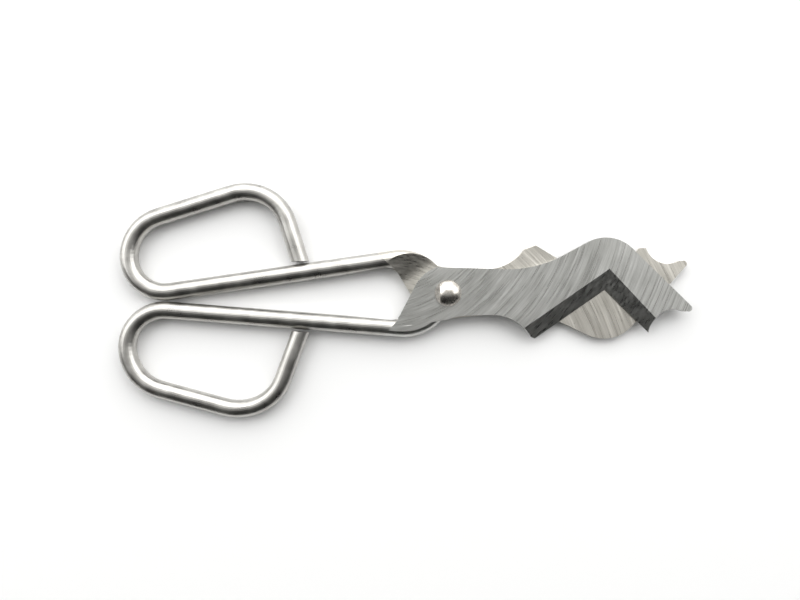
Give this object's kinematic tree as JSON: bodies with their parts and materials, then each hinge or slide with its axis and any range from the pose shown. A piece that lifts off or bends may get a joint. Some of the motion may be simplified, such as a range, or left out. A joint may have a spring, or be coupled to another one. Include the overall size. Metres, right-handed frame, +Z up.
{
  "type": "diamond shears",
  "caption": "Steel diamond shears for hot glass: crossed blades with facing V notches, D-shaped finger loops and a domed pivot screw",
  "frame": {"origin": "On the pivot screw's axis, at the level of its tail and of the surface that the shears rest on", "axes": "+X from the pivot to the blades, +Y to the side of the back handle, +Z up from the resting surface to the screw's head"},
  "size_m": [0.2623, 0.1076, 0.0113],
  "materials": {
    "ground_blade": "satin",
    "ground_blade_back": "satin",
    "polished_bar": "satin",
    "screw": "satin"
  },
  "bodies": {
    "back_half": {"back_blade": "ground_blade_back", "back_handle": "polished_bar", "pivot_screw": "screw"},
    "front_half": {"front_blade": "ground_blade", "front_handle": "polished_bar"}
  },
  "joints": [
    {"name": "pivot", "type": "hinge", "parent": "back_half", "child": "front_half", "pos_m": [0, 0, 0.004], "axis": [0, 0, 1], "range_deg": [0, 60]}
  ]
}
